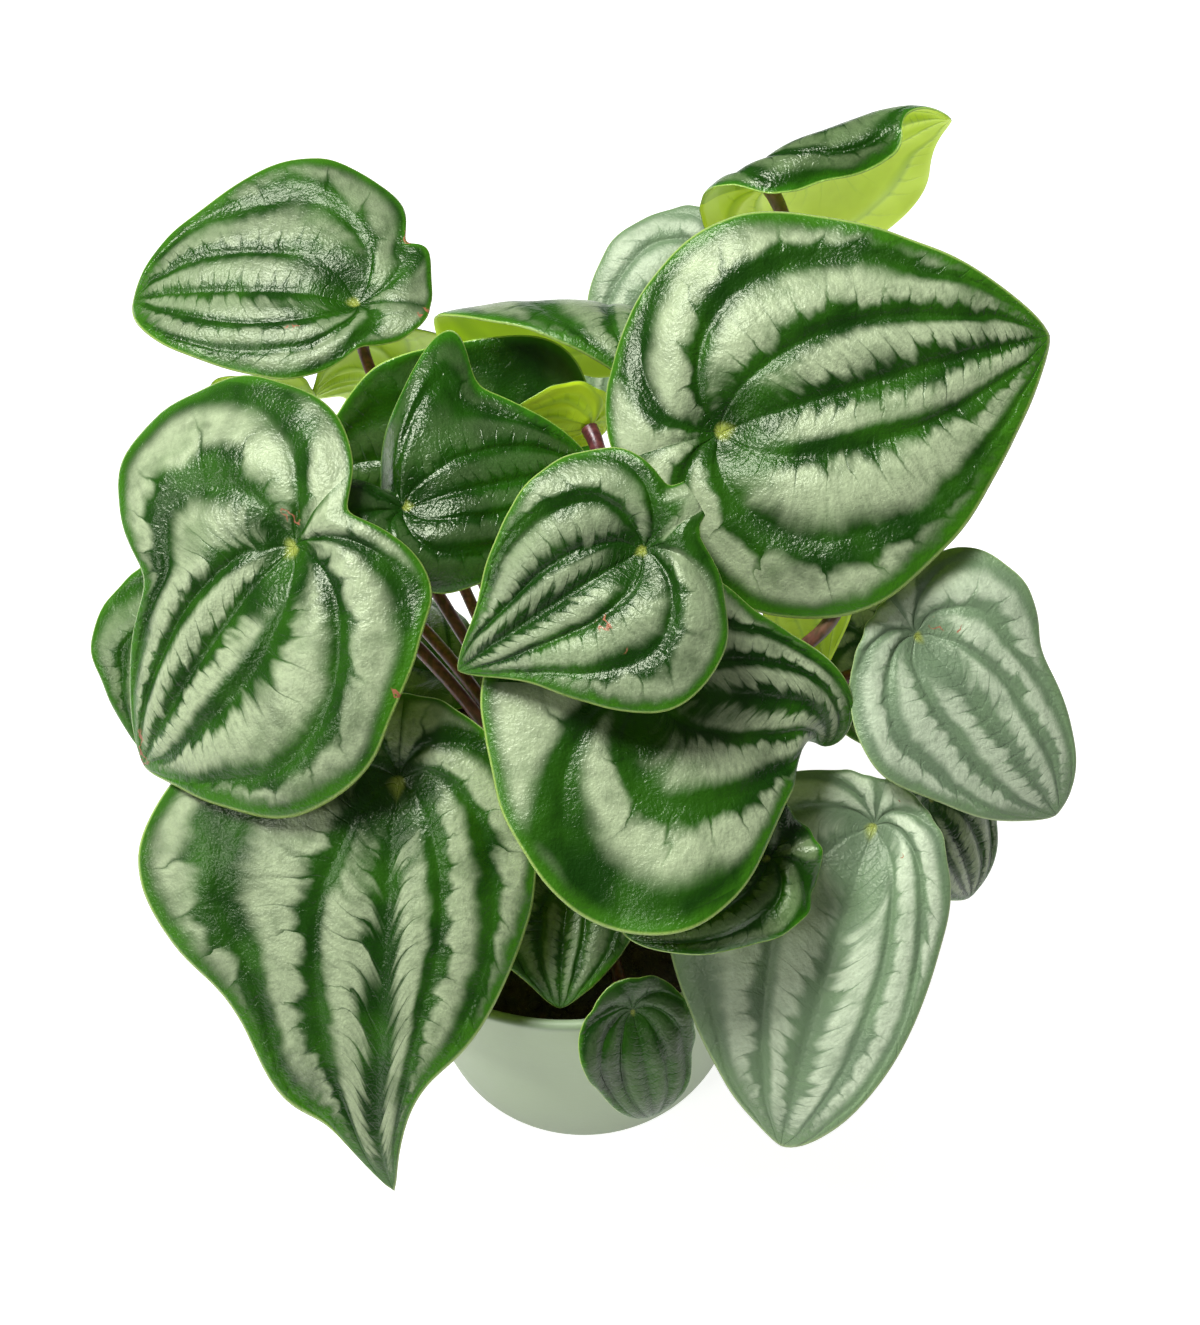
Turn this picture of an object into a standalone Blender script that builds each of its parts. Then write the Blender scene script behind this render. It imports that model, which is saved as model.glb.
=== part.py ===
"""Potted peperomia: a watermelon-leaved plant in a small tapered pot.

The pot stands on z = 0 with its centre on the Z axis, +Z up, and the plant's
fullest side faces -Y. Each leaf is a thin blade with its stalk joined to the
underside, a little in from the blade's rear edge. Every stalk springs from a
short crown that sits on the soil.
"""

from dataclasses import dataclass
from math import cos, exp, hypot, pi, radians, sin, sqrt, tau

import bmesh
import bpy
from mathutils import Matrix, Vector

MM = 0.001

# Gap left between two pieces that touch.
SEAT = 0.3 * MM

# Pot: a plain tapered wall, turned round the Z axis.
POT_HEIGHT = 100 * MM
POT_BASE_RADIUS = 42.5 * MM
POT_RIM_RADIUS = 55 * MM
POT_WALL = 2.4 * MM
POT_FLOOR = 3 * MM
POT_EDGE = 0.8 * MM
POT_STEPS = 64

# Soil: fills the pot to just below the rim and is lowest at the wall.
SOIL_WALL_HEIGHT = 86 * MM
SOIL_TOP = 88 * MM
SOIL_STEPS = 48

# Crown: the short, broad stem base that all the stalks spring from.
CROWN_RADIUS = 19 * MM
CROWN_HEIGHT = 6 * MM
CROWN_SHOULDER = 1.5 * MM
CROWN_STEPS = 32

# Stalks: their feet stand in rings on the crown, six more places in each ring.
FOOT_RING = 5.3 * MM
FOOT_PLACES = 6
STALK_RADIUS = 1.7 * MM
STALK_POINTS = 9
STALK_UPRIGHT = 0.4
STALK_NECK = 3 * MM
STALK_APPROACH = 0.3

# Blades: a disc of square cells, stretched to the leaf's outline and bent.
BLADE_THICKNESS = 1.1 * MM
BLADE_CELLS = 8
SMALL_BLADE_CELLS = 6
SMALL_BLADE_LENGTH = 42
TIP_POWER = 1.3
TIP_BEND_START = 0.6
TIP_BEND_POWER = 1.5
FOLD_FADE = 0.25
NAVEL_WIDTH = 7 * MM
MIDRIB_STEPS = 24
WAVES = 5


@dataclass
class Leaf:
    """One leaf, with lengths in millimetres and angles in degrees."""

    name: str
    at: tuple  # where the stalk meets the blade
    foot: tuple  # ring and place of the stalk's foot on the crown
    size: tuple  # reach from the stalk to the tip, rear, left and right margins
    heading: float  # compass direction of the tip, from +X towards +Y
    pitch: float = 0  # how far the tip is lowered
    roll: float = 0  # how far the left side is raised
    bend: float = 10  # downward curve of the midrib to the tip
    tip_bend: float = 20  # extra downward curve near the tip
    back_bend: float = 10  # downward curve of the rear
    curl: tuple = (-10, -10)  # upward curve of the left and right sides
    back_curl: float = 0  # extra upward curve of both sides at the rear
    fold: float = 8  # upward tilt of both halves from the midrib
    sweep: float = 0  # curve of the midrib to the left
    hook: float = 0  # extra curve to the left near the tip
    taper: float = 0.12  # how far the sides are drawn in before the tip
    spike: float = 0.14  # share of the front length that is the pointed tip
    tail: float = 11.5  # angle over which the pointed tip widens
    navel: float = 3  # depth of the dimple over the stalk
    wave: float = 0.6  # height of the ripples along the margin
    swells: tuple = ()  # direction, spread and size of each bulge or notch
    lifts: tuple = ()  # direction, spread and height of each raised margin
    bow: float = 0.45  # how far the stalk rises before it leans out
    lean: tuple = (0, 0)  # shift of the stalk's upper half along X and Y


LEAVES = (
    Leaf("back_left", (-40, 98, 176), (1, 2), (55, 18, 25, 40), 170, -3, -14,
         bend=12, tip_bend=10, curl=(-30, -10), spike=0.05, bow=0.6, lean=(-8, 8),
         swells=((-118, 9, -5), (-8, 25, 2), (105, 40, -6))),
    Leaf("left", (-52, 18, 179), (2, 6), (59, 32, 36, 44), -147, 34, -14,
         bend=18, tip_bend=5, back_bend=25, curl=(-20, -20),
         swells=((42, 30, 14), (152, 26, -13), (180, 30, -8), (-40, 22, -11), (-105, 25, 5))),
    Leaf("front_left", (-35, -17, 144), (3, 10), (92, 18, 32, 56), -101, 34, 2,
         bend=25, tip_bend=10, curl=(-35, -20), spike=0.3, tail=5, sweep=-8, hook=22,
         swells=((-14, 12, 10),)),
    Leaf("right", (36, 28, 191), (1, 0), (71, 22, 42, 44), 6, -12, 34,
         bend=14, tip_bend=10, curl=(-20, -20)),
    Leaf("far_right", (73, -6, 163), (2, 0), (50, 10, 25, 22), -48, 32, 22,
         swells=((115, 30, 6), (40, 25, -6), (-60, 30, 4)), lean=(0, -10)),
    Leaf("front_right", (61, -33, 136), (2, 11), (72, 10, 22, 41), -117, 34, 4,
         curl=(-25, -20)),
    Leaf("top", (17, -6, 196), (0, 0), (43, 10, 27, 22), -162, 22, -30,
         spike=0.24, tail=9, swells=((-168, 16, 9), (100, 40, 3), (-110, 30, 4)), lean=(0, 26)),
    Leaf("middle_left", (-28, 26, 180), (1, 3), (43, 13, 27, 21), 14, 4, 24,
         curl=(-10, -50), swells=((62, 10, 12), (105, 24, -10)), lifts=((108, 22, -14),)),
    Leaf("front", (17, -19, 170), (1, 5), (48, 32, 28, 46), -2, 12, 26,
         bend=20, tip_bend=60, curl=(-30, -10), spike=0.3, tail=14, hook=-110),
    Leaf("front_young", (38, -43, 144), (2, 10), (33, 10, 15, 17), -162, 10, -30,
         bow=0.8, lean=(-12, 0)),
    Leaf("low_front", (10, -56, 104), (3, 14), (32, 10, 13, 14), -77, 63),
    Leaf("rim_front", (-2, -28, 116), (3, 13), (28, 18, 18, 22), -100, 25),
    Leaf("low_left", (-82, 32, 136), (3, 9), (34, 20, 24, 24), -125, 40, -10),
    Leaf("cupped", (-20, 54, 158), (2, 4), (40, 30, 25, 29), 180, 5, -35,
         curl=(25, 20), bow=0.7, swells=((-140, 30, 9),)),
    Leaf("arched", (26, 86, 172), (2, 3), (38, 22, 30, 48), -97, -70,
         bend=110, tip_bend=20, curl=(-20, -20)),
    Leaf("upright_young", (10, 54, 174), (1, 1), (28, 8, 14, 11), -165, 10, 82),
    Leaf("back_pale", (49, 127, 158), (3, 3), (54, 12, 18, 26), -138, 30, -10),
    Leaf("back_high", (57, 112, 191), (2, 2), (46, 16, 38, 23), 14, -12, -86,
         tip_bend=50, curl=(0, -150), hook=-30, taper=0, spike=0.2, tail=14,
         swells=((52, 28, 8), (-35, 26, 6)), lean=(6, 2)),
    Leaf("back_left_small", (-70, 103, 142), (3, 7), (20, 14, 16, 16), -170, 20, 70),
    Leaf("back_left_low", (-37, 113, 141), (3, 6), (22, 20, 26, 24), -175, 5, 68,
         bow=0.3),
    Leaf("hanging", (54, 14, 170), (2, 1), (32, 10, 14, 14), 110, 100),
    Leaf("low_right", (85, -10, 105), (3, 17), (32, 18, 18, 18), -50, 55),
    Leaf("inner_right", (70, 14, 136), (3, 1), (28, 14, 20, 20), -80, 30),
    Leaf("rim_right", (58, -36, 112), (3, 16), (40, 14, 16, 16), -62, 55),
    Leaf("inner_left", (-29, 40, 110), (3, 5), (32, 18, 14, 11), 102, 12),
    Leaf("rear", (5, 88, 110), (3, 4), (38, 18, 24, 24), 90, 40),
    Leaf("rear_right", (60, 66, 114), (3, 2), (40, 18, 24, 24), 45, 40),
    Leaf("rear_left", (-60, 58, 114), (3, 8), (40, 18, 24, 24), 140, 40),
)


def add_piece(name, mesh, material, collection):
    """Link a new object for one piece, with its material."""
    piece = bpy.data.objects.new(name, mesh)
    mesh.materials.append(material)
    collection.objects.link(piece)
    return piece


def make_material(name, colour, roughness):
    material = bpy.data.materials.new(name)
    material.use_nodes = True
    shader = material.node_tree.nodes["Principled BSDF"]
    shader.inputs["Base Color"].default_value = (*colour, 1)
    shader.inputs["Roughness"].default_value = roughness
    shader.inputs["Metallic"].default_value = 0
    return material


def add_turned(name, profile, steps, material, collection):
    """Turn a closed-ended profile, given as (radius, height) top to bottom."""
    mesh = bpy.data.meshes.new(name)
    shape = bmesh.new()
    points = [shape.verts.new((radius, 0, height)) for radius, height in profile]
    for start, end in zip(points, points[1:]):
        shape.edges.new((start, end))
    shape.to_mesh(mesh)
    shape.free()
    piece = add_piece(name, mesh, material, collection)
    screw = piece.modifiers.new("turn", "SCREW")
    screw.steps = steps
    screw.render_steps = steps
    screw.use_merge_vertices = True
    screw.merge_threshold = 0.01 * MM
    return piece


def wall_radius(height):
    """Outer radius of the pot's wall at a height."""
    return POT_BASE_RADIUS + (POT_RIM_RADIUS - POT_BASE_RADIUS) * height / POT_HEIGHT


def add_pot(collection):
    inner_top = POT_RIM_RADIUS - POT_WALL
    inner_floor = wall_radius(POT_FLOOR) - POT_WALL
    profile = (
        (0, POT_FLOOR),
        (inner_floor - POT_EDGE, POT_FLOOR),
        (inner_floor, POT_FLOOR + POT_EDGE),
        (inner_top, POT_HEIGHT - POT_EDGE),
        (inner_top + POT_EDGE, POT_HEIGHT),
        (POT_RIM_RADIUS - POT_EDGE, POT_HEIGHT),
        (POT_RIM_RADIUS, POT_HEIGHT - POT_EDGE),
        (wall_radius(POT_EDGE), POT_EDGE),
        (POT_BASE_RADIUS - POT_EDGE, 0),
        (0, 0),
    )
    material = make_material("pot_glaze", (0.42, 0.50, 0.37), 0.5)
    add_turned("pot", profile, POT_STEPS, material, collection)


def add_soil(collection):
    bottom = POT_FLOOR + POT_EDGE + SEAT
    gap = POT_WALL + 2 * SEAT
    profile = (
        (0, SOIL_TOP),
        (CROWN_RADIUS + SEAT, SOIL_TOP),
        (wall_radius(SOIL_WALL_HEIGHT) - gap, SOIL_WALL_HEIGHT),
        (wall_radius(bottom) - gap, bottom),
        (0, bottom),
    )
    material = make_material("soil", (0.03, 0.022, 0.016), 0.95)
    add_turned("soil", profile, SOIL_STEPS, material, collection)


def crown_top():
    return SOIL_TOP + SEAT + CROWN_HEIGHT


def add_crown(collection):
    profile = (
        (0, crown_top()),
        (CROWN_RADIUS - CROWN_SHOULDER, crown_top()),
        (CROWN_RADIUS, crown_top() - CROWN_SHOULDER),
        (CROWN_RADIUS, SOIL_TOP + SEAT),
        (0, SOIL_TOP + SEAT),
    )
    material = make_material("crown", (0.06, 0.025, 0.02), 0.7)
    add_turned("crown", profile, CROWN_STEPS, material, collection)


def turn_matrix(leaf):
    """Turn from the leaf's own axes (tip +X, left +Y, face +Z) to the plant's."""
    heading = Matrix.Rotation(radians(leaf.heading), 3, "Z")
    pitch = Matrix.Rotation(radians(leaf.pitch), 3, "Y")
    roll = Matrix.Rotation(radians(leaf.roll), 3, "X")
    return heading @ pitch @ roll


def bump(around, direction, spread):
    """1 in one direction round the stalk, fading to 0 away from it."""
    away = (around - radians(direction) + pi) % tau - pi
    return exp(-((away / radians(spread)) ** 2))


def margin_reach(leaf, around):
    """Distance from the stalk to the margin: an off-centre oval with a pointed tip."""
    front, back, left, right = (side * MM for side in leaf.size)
    oval_front = front * (1 - leaf.spike)
    length = (oval_front + back) / 2
    centre = (oval_front - back) / 2
    width = left if around >= 0 else right
    along, across = cos(around), sin(around)
    a = (along / length) ** 2 + (across / width) ** 2
    b = -2 * centre * along / length ** 2
    c = (centre / length) ** 2 - 1
    reach = (-b + sqrt(b * b - 4 * a * c)) / (2 * a)
    if along > 0:
        reach *= 1 - leaf.taper * sin(2 * around) ** 2 * along
    reach += front * leaf.spike * exp(-((abs(around) / radians(leaf.tail)) ** TIP_POWER))
    for direction, spread, size in leaf.swells:
        reach += size * MM * bump(around, direction, spread)
    return reach


def midrib_frame(leaf, x):
    """Turn of the blade at a distance along the midrib, negative to the rear."""
    front, back = leaf.size[0] * MM, leaf.size[1] * MM
    if x < 0:
        return Matrix.Rotation(-radians(leaf.back_bend) * min(-x / back, 1), 3, "Y")
    share = min(x / front, 1)
    near_tip = max(0, (share - TIP_BEND_START) / (1 - TIP_BEND_START))
    drop = radians(leaf.bend) * share + radians(leaf.tip_bend) * near_tip ** TIP_BEND_POWER
    sweep = radians(leaf.sweep) * share ** TIP_BEND_POWER + radians(leaf.hook) * near_tip ** TIP_BEND_POWER
    return Matrix.Rotation(sweep, 3, "Z") @ Matrix.Rotation(drop, 3, "Y")


def midrib_point(leaf, x):
    point = Vector()
    step = x / MIDRIB_STEPS
    for index in range(MIDRIB_STEPS):
        point += midrib_frame(leaf, (index + 0.5) * step) @ Vector((step, 0, 0))
    return point


def side_arc(tilt, curl, distance):
    """Offset across and up of an arc that starts at a tilt and turns by curl."""
    if abs(curl) < radians(0.1):
        return distance * cos(tilt), distance * sin(tilt)
    across = distance * (sin(tilt + curl) - sin(tilt)) / curl
    up = distance * (cos(tilt) - cos(tilt + curl)) / curl
    return across, up


def blade_point(leaf, around, share):
    """Point of the blade's upper face: direction round the stalk, share of the reach."""
    reach = margin_reach(leaf, around)
    x = share * reach * cos(around)
    y = share * reach * sin(around)
    front, back, left, right = (side * MM for side in leaf.size)
    width = left if y >= 0 else right
    side_curl = leaf.curl[0] if y >= 0 else leaf.curl[1]
    rear_share = min(max(-x / back, 0), 1)
    fade = min(max((x / front + FOLD_FADE) / (2 * FOLD_FADE), 0), 1)
    tilt = radians(leaf.fold) * fade * fade * (3 - 2 * fade)
    curl = radians(side_curl + leaf.back_curl * rear_share) * abs(y) / width
    across, up = side_arc(tilt, curl, abs(y))
    up += leaf.wave * MM * share ** 3 * sin(WAVES * around)
    up -= leaf.navel * MM * exp(-((hypot(x, y) / NAVEL_WIDTH) ** 2))
    for direction, spread, height in leaf.lifts:
        up += height * MM * bump(around, direction, spread) * share ** 2
    offset = Vector((0, across if y >= 0 else -across, up))
    local = midrib_point(leaf, x) + midrib_frame(leaf, x) @ offset
    return Vector(leaf.at) * MM + turn_matrix(leaf) @ local


def disc_place(x, y):
    """Direction and share of the radius for a point of the square from -1 to 1."""
    share = max(abs(x), abs(y))
    if share == 0:
        return 0, 0
    if abs(x) >= abs(y):
        around = pi / 4 * y / abs(x)
        return (around if x > 0 else (pi if y >= 0 else -pi) - around), share
    around = pi / 2 - pi / 4 * x / abs(y)
    return (around if y > 0 else -around), share


def add_blade(leaf, material, collection):
    cells = BLADE_CELLS if leaf.size[0] >= SMALL_BLADE_LENGTH else SMALL_BLADE_CELLS
    shape = bmesh.new()
    bmesh.ops.create_grid(shape, x_segments=cells, y_segments=cells, size=1)
    for vertex in shape.verts:
        around, share = disc_place(vertex.co.x, vertex.co.y)
        vertex.co = blade_point(leaf, around, share)
    name = f"blade_{leaf.name}"
    mesh = bpy.data.meshes.new(name)
    shape.to_mesh(mesh)
    shape.free()
    mesh.shade_smooth()
    blade = add_piece(name, mesh, material, collection)
    wall = blade.modifiers.new("thickness", "SOLIDIFY")
    wall.thickness = BLADE_THICKNESS
    wall.offset = -1


def foot_point(leaf):
    """Centre of the stalk's foot, standing on the crown."""
    ring, place = leaf.foot
    angle = tau * place / (FOOT_PLACES * max(ring, 1))
    radius = FOOT_RING * ring
    return Vector((radius * cos(angle), radius * sin(angle), crown_top() + SEAT))


def add_stalk(leaf, material, collection):
    """Stalk: rises from the crown, leans out and meets the blade from below."""
    face = turn_matrix(leaf) @ Vector((0, 0, 1))
    start = foot_point(leaf)
    end = Vector(leaf.at) * MM - face * (leaf.navel * MM + BLADE_THICKNESS + SEAT)
    length = (end - start).length
    arrival = (face + Vector((0, 0, STALK_UPRIGHT))).normalized()
    above = start + Vector((0, 0, STALK_NECK))
    below = end - face * STALK_NECK
    rise = above + Vector((0, 0, length * leaf.bow))
    lean = Vector((*leaf.lean, 0)) * MM
    approach = below - arrival * length * STALK_APPROACH + lean
    name = f"stalk_{leaf.name}"
    curve = bpy.data.curves.new(name, "CURVE")
    curve.dimensions = "3D"
    curve.bevel_depth = STALK_RADIUS
    curve.bevel_resolution = 2
    curve.use_fill_caps = True
    spline = curve.splines.new("POLY")
    route = [start]
    for index in range(STALK_POINTS):
        t = index / (STALK_POINTS - 1)
        route.append(above * (1 - t) ** 3 + rise * 3 * t * (1 - t) ** 2
                     + approach * 3 * t * t * (1 - t) + below * t ** 3)
    route.append(end)
    spline.points.add(len(route) - 1)
    for point, place in zip(spline.points, route):
        point.co = (*place, 1)
    curve.materials.append(material)
    collection.objects.link(bpy.data.objects.new(name, curve))


def main():
    for thing in list(bpy.data.objects):
        bpy.data.objects.remove(thing, do_unlink=True)
    collection = bpy.data.collections.new("potted_peperomia")
    bpy.context.scene.collection.children.link(collection)
    add_pot(collection)
    add_soil(collection)
    add_crown(collection)
    blade_material = make_material("blade", (0.06, 0.16, 0.05), 0.4)
    stalk_material = make_material("stalk", (0.09, 0.02, 0.025), 0.45)
    for leaf in LEAVES:
        add_blade(leaf, blade_material, collection)
        add_stalk(leaf, stalk_material, collection)


main()
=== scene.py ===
from dataclasses import dataclass
from math import atan2, cos, e, exp, hypot, pi, radians, sin, sqrt, tau

import bmesh
import bpy
from mathutils import Matrix, Vector, noise


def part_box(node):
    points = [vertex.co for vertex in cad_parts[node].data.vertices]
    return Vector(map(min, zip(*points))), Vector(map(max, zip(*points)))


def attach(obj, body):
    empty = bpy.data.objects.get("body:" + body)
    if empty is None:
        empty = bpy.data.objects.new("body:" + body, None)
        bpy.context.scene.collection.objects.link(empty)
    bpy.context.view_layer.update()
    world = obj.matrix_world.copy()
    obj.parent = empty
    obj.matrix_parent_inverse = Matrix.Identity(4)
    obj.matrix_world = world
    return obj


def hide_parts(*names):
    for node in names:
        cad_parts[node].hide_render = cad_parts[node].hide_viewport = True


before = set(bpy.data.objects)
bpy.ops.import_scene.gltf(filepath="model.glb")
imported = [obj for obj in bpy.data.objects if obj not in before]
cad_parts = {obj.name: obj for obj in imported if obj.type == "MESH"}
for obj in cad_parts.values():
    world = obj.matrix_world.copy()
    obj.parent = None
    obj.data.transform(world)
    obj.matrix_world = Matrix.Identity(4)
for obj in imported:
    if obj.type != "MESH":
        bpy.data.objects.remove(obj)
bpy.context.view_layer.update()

MM = 0.001

# ---------------------------------------------------------------------------
# Pot. A plain tapered pot, cast in clay with an even wall and a rounded lip,
# and dipped in a matte sage-green glaze, with painted shade darkening its top band.
# ---------------------------------------------------------------------------
POT_WALL = 2.4 * MM
POT_FLOOR = 3 * MM
POT_TAPER = 12.5 / 100
POT_STEPS = 192
LIP_RADIUS = POT_WALL / 2
LIP_STEPS = 12
FOOT_RADIUS = 1.6 * MM
INNER_CORNER = 2.6 * MM
INNER_INSET = 3 * MM
CORNER_STEPS = 5
GLAZE_DARK = (0.255, 0.325, 0.190)
GLAZE_LIGHT = (0.295, 0.368, 0.228)
GLAZE_SPECK = (0.30, 0.36, 0.25)
LIP_SHADE_COLOUR = (0.155, 0.215, 0.135)
LIP_SHADE_BAND = (3.2 * MM, 0.6 * MM)
_, pot_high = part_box("pot")
rim_height = pot_high.z
rim_radius = pot_high.x


def wall_radius(height):
    """Outer radius of the pot's wall at a height."""
    return rim_radius - POT_TAPER * (rim_height - height)


def arc_points(centre, radius, start, end, steps):
    """Points of an arc in the profile plane, from one angle to the other in degrees."""
    x, z = centre
    turns = [radians(start + (end - start) * index / steps) for index in range(steps + 1)]
    return [(x + radius * cos(turn), z + radius * sin(turn)) for turn in turns]


def make_piece(name, shape):
    """Turn a finished shape into an object of its own."""
    mesh = bpy.data.meshes.new(name)
    shape.to_mesh(mesh)
    shape.free()
    mesh.shade_smooth()
    piece = bpy.data.objects.new(name, mesh)
    bpy.context.scene.collection.objects.link(piece)
    return piece


def spin_profile(name, profile, steps):
    """Turn a profile of (radius, height) points, from axis to axis, round the pot's axis."""
    shape = bmesh.new()
    points = [shape.verts.new((radius, 0, height)) for radius, height in profile]
    edges = [shape.edges.new(pair) for pair in zip(points, points[1:])]
    bmesh.ops.spin(shape, geom=points + edges, axis=(0, 0, 1), cent=(0, 0, 0),
                   angle=tau, steps=steps, use_merge=True)
    bmesh.ops.remove_doubles(shape, verts=shape.verts, dist=0.01 * MM)
    bmesh.ops.recalc_face_normals(shape, faces=shape.faces)
    return make_piece(name, shape)


def add_node(tree, kind, *inputs, **settings):
    """Add a node, set its fields, and feed its inputs in order with sockets or values."""
    node = tree.nodes.new(kind)
    for field, value in settings.items():
        setattr(node, field, value)
    for socket, value in zip(node.inputs, inputs):
        if isinstance(value, bpy.types.NodeSocket):
            tree.links.new(value, socket)
        elif value is not None:
            socket.default_value = value
    return node


def calc(tree, operation, *inputs):
    """Result of one sum on sockets or values."""
    return add_node(tree, "ShaderNodeMath", *inputs, operation=operation).outputs[0]


def fade(tree, value, start, end, low=0.0, high=1.0):
    """Smooth step of a value from start to end."""
    node = add_node(tree, "ShaderNodeMapRange", value, start, end, low, high,
                    interpolation_type="SMOOTHSTEP")
    return node.outputs[0]


def mix_colour(tree, share, first, second):
    """Second colour over the first, by a share."""
    node = tree.nodes.new("ShaderNodeMix")
    node.data_type = "RGBA"
    sockets = (node.inputs[0], node.inputs[6], node.inputs[7])
    for socket, value in zip(sockets, (share, first, second)):
        if isinstance(value, bpy.types.NodeSocket):
            tree.links.new(value, socket)
        else:
            socket.default_value = value if isinstance(value, (int, float)) else (*value, 1)
    return node.outputs[2]


def speckle(tree, place, scale, detail=2.0, roughness=0.5):
    """Soft noise from 0 to 1 at a place."""
    node = add_node(tree, "ShaderNodeTexNoise", place)
    node.inputs["Scale"].default_value = scale
    node.inputs["Detail"].default_value = detail
    node.inputs["Roughness"].default_value = roughness
    return node.outputs["Fac"]


def new_material(name, roughness):
    """Material with its node tree and its shader."""
    material = bpy.data.materials.new(name)
    material.use_nodes = True
    tree = material.node_tree
    shader = tree.nodes["Principled BSDF"]
    shader.inputs["Roughness"].default_value = roughness
    return material, tree, shader


def bump_into(tree, shader, height, strength, distance):
    """Fine relief from a height, as the shader's normal."""
    bump = add_node(tree, "ShaderNodeBump")
    bump.inputs["Strength"].default_value = strength
    bump.inputs["Distance"].default_value = distance
    tree.links.new(height, bump.inputs["Height"])
    tree.links.new(bump.outputs["Normal"], shader.inputs["Normal"])


inner_base = wall_radius(POT_FLOOR) - POT_WALL
inner_corner = (inner_base - INNER_CORNER, POT_FLOOR + INNER_CORNER)
lip_centre = (rim_radius - LIP_RADIUS, rim_height - LIP_RADIUS)
foot_centre = (wall_radius(FOOT_RADIUS) - FOOT_RADIUS, FOOT_RADIUS)
pot_profile = [(0, POT_FLOOR), (inner_base - INNER_INSET, POT_FLOOR)]
pot_profile += arc_points(inner_corner, INNER_CORNER, -90, 0, CORNER_STEPS)
pot_profile += arc_points(lip_centre, LIP_RADIUS, 180, 0, LIP_STEPS)
pot_profile += arc_points(foot_centre, FOOT_RADIUS, 0, -90, CORNER_STEPS)
pot_profile += [(0, 0)]
pot = spin_profile("pot_shell", pot_profile, POT_STEPS)

glaze, tree, shader = new_material("sage_glaze", 0.48)
place = add_node(tree, "ShaderNodeTexCoord").outputs["Object"]
height = add_node(tree, "ShaderNodeSeparateXYZ", place).outputs[2]
mottle = speckle(tree, place, 34, 4, 0.55)
grain = speckle(tree, place, 900)
colour = mix_colour(tree, fade(tree, mottle, 0.35, 0.65), GLAZE_DARK, GLAZE_LIGHT)
colour = mix_colour(tree, fade(tree, grain, 0.62, 0.74, 0, 0.25), colour, GLAZE_SPECK)
# Painted shade: the glaze is darkened over the top few millimetres under the lip, inside and
# out.
lip_shade = fade(tree, height, *(rim_height - edge for edge in LIP_SHADE_BAND))
colour = mix_colour(tree, calc(tree, "MULTIPLY", lip_shade, 0.55), colour, LIP_SHADE_COLOUR)
tree.links.new(colour, shader.inputs["Base Color"])
tree.links.new(fade(tree, mottle, 0.3, 0.7, 0.42, 0.55), shader.inputs["Roughness"])
relief = calc(tree, "ADD", grain, calc(tree, "MULTIPLY", mottle, 3))
bump_into(tree, shader, relief, 0.12, 0.4 * MM)
pot.data.materials.append(glaze)
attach(pot, "root")
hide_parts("pot")

# ---------------------------------------------------------------------------
# Soil. Dark, peaty potting mix with a crumbly top: a lumpy bed under a loose
# scatter of crumbs and short bark chips pressed into it.
# ---------------------------------------------------------------------------
SOIL_DIP = 2 * MM
SOIL_GAP = 0.5 * MM
BED_CELLS = 150
LUMP_WIDTH = 9 * MM
LUMP_HEIGHT = 1.1 * MM
GRIT_WIDTH = 2.6 * MM
GRIT_HEIGHT = 0.9 * MM
CRUMBS = 900
CRUMB_LARGEST = 2.4 * MM
CRUMB_INSET = 1.6 * MM
CRUMB_LUMPS = 0.45
GOLDEN_TURN = pi * (3 - sqrt(5))
PEAT_DARK = (0.010, 0.0065, 0.0045)
PEAT_LIGHT = (0.034, 0.020, 0.012)
BARK = (0.105, 0.042, 0.022)
FIBRE = (0.16, 0.10, 0.06)
soil_low, soil_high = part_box("soil")
soil_radius = wall_radius(soil_high.z) - POT_WALL - SOIL_GAP


def disc_place(x, y):
    """Direction and share of the radius for a point of the square from -1 to 1."""
    share = max(abs(x), abs(y))
    if share == 0:
        return 0, 0
    if abs(x) >= abs(y):
        around = pi / 4 * y / abs(x)
        return (around if x > 0 else (pi if y >= 0 else -pi) - around), share
    around = pi / 2 - pi / 4 * x / abs(y)
    return (around if y > 0 else -around), share


def soil_height(x, y):
    """Height of the bed's surface: lowest at the wall, lumpy all over."""
    share = min(hypot(x, y) / soil_radius, 1)
    lumps = noise.noise(Vector((x, y, 0)) / LUMP_WIDTH) * LUMP_HEIGHT
    grit = noise.noise(Vector((x, y, 0.02)) / GRIT_WIDTH) * GRIT_HEIGHT
    return soil_high.z - SOIL_DIP * share ** 2 + (lumps + grit) * (1 - 0.6 * share ** 8)


shape = bmesh.new()
bmesh.ops.create_grid(shape, x_segments=BED_CELLS, y_segments=BED_CELLS, size=1)
for vertex in shape.verts:
    around, share = disc_place(vertex.co.x, vertex.co.y)
    x, y = soil_radius * share * cos(around), soil_radius * share * sin(around)
    vertex.co = (x, y, soil_height(x, y))
bed_rim = [edge for edge in shape.edges if edge.is_boundary]
wall = bmesh.ops.extrude_edge_only(shape, edges=bed_rim)["geom"]
radius = wall_radius(soil_low.z) - POT_WALL - SOIL_GAP
for vertex in (part for part in wall if isinstance(part, bmesh.types.BMVert)):
    around = atan2(vertex.co.y, vertex.co.x)
    vertex.co = (radius * cos(around), radius * sin(around), soil_low.z)
bottom_rim = [part for part in wall if isinstance(part, bmesh.types.BMEdge)]
bmesh.ops.contextual_create(shape, geom=bottom_rim)
bmesh.ops.recalc_face_normals(shape, faces=shape.faces)
soil = make_piece("soil_bed", shape)


def chance(index, salt):
    """A fixed, evenly spread value from 0 to 1 for each index."""
    return (sin(index * 12.9898 + salt * 78.233) * 43758.5453) % 1


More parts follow.
